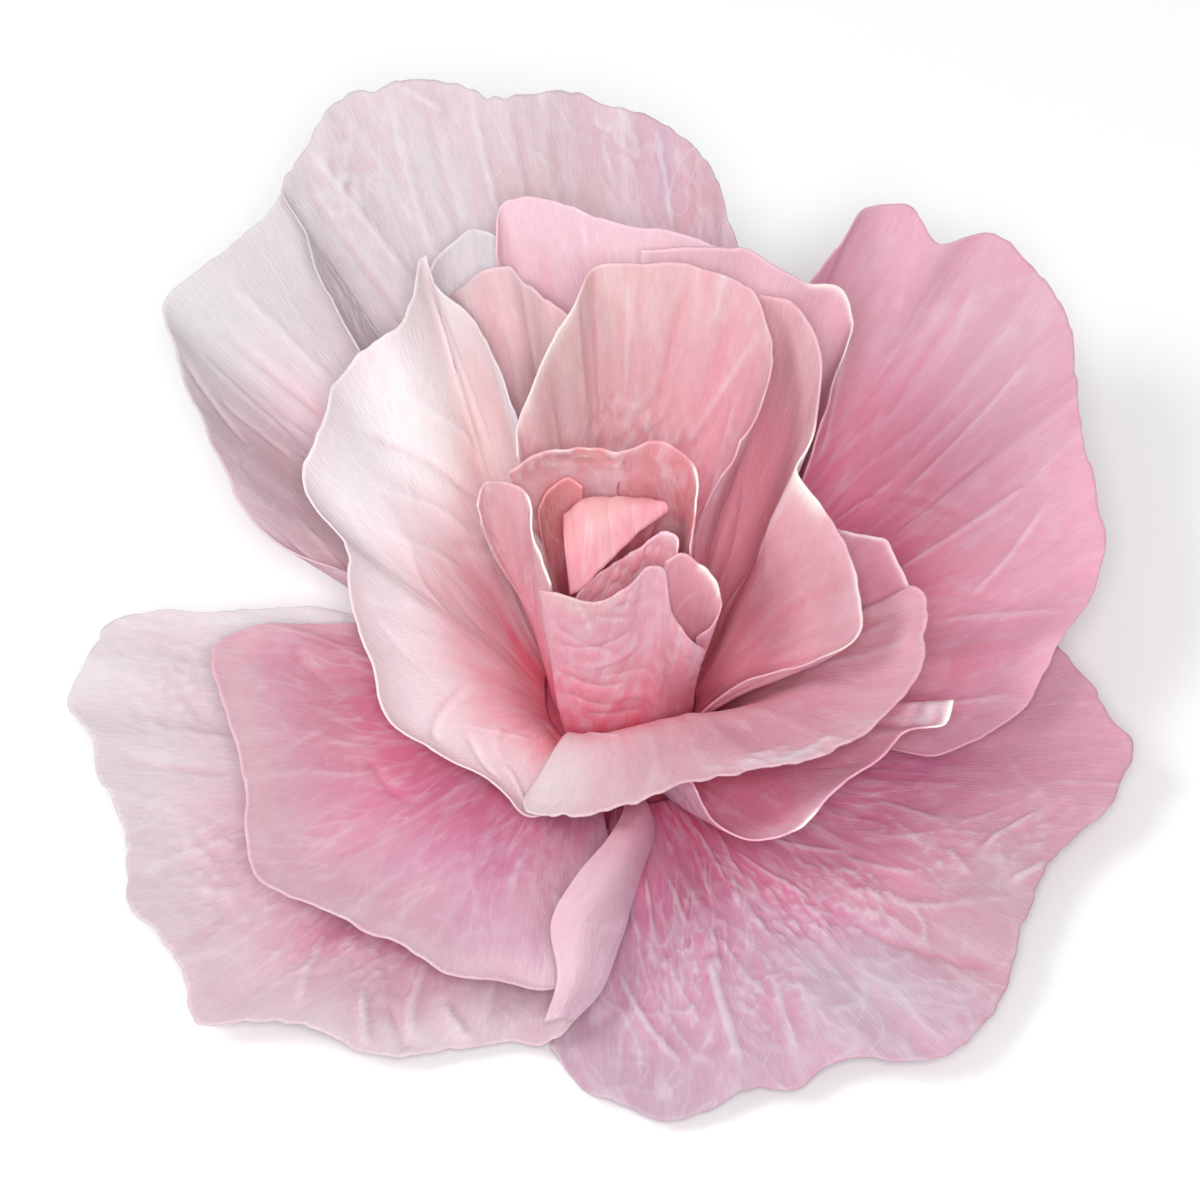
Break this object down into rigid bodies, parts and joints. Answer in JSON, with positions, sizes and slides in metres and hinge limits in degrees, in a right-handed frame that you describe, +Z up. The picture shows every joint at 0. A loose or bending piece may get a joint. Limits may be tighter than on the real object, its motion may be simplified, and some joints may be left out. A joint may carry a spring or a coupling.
{
  "type": "crepe paper peony",
  "caption": "Open peony bloom of cupped, crinkled crepe paper petals in rings round a furled heart, glued to a small card disc; a paper craft decoration.",
  "frame": {"origin": "centre of the card disc's flat underside, on the surface the bloom rests on", "axes": "+Z up out of the bloom, +Y towards its back, where the petals stand tallest, +X to its right seen from the front"},
  "size_m": [0.1808, 0.1901, 0.0684],
  "materials": {
    "card": "craft card covered with deep rose crepe",
    "crepe_white": "matt crepe paper, near white with a pink blush towards the foot",
    "crepe_blush": "matt crepe paper, blush pink, paler along the free edge",
    "crepe_rose": "matt crepe paper, rose pink, paler along the free edge",
    "crepe_coral": "matt crepe paper, coral pink, deep in the heart of the bloom"
  },
  "bodies": {
    "root": {"backing_disc": "card", "heart_petal_1": "crepe_coral", "heart_petal_2": "crepe_coral", "heart_petal_3": "crepe_coral", "bud_petal_back": "crepe_coral", "bud_petal_left": "crepe_coral", "bud_petal_right": "crepe_rose", "bud_petal_front": "crepe_rose", "inner_petal_back": "crepe_blush", "inner_petal_right": "crepe_rose", "middle_petal_south": "crepe_blush", "middle_petal_west": "crepe_white", "inner_petal_north_west": "crepe_white", "middle_petal_north_east": "crepe_blush", "middle_petal_north": "crepe_blush", "middle_petal_north_west": "crepe_white", "middle_petal_east": "crepe_rose", "lower_petal_south_east": "crepe_rose", "outer_petal_east": "crepe_rose", "side_petal_south": "crepe_blush", "lower_petal_south_west": "crepe_rose", "outer_petal_north": "crepe_white", "outer_petal_west": "crepe_white", "outer_petal_south_west": "crepe_blush", "outer_petal_south_east": "crepe_blush"}
  },
  "joints": []
}
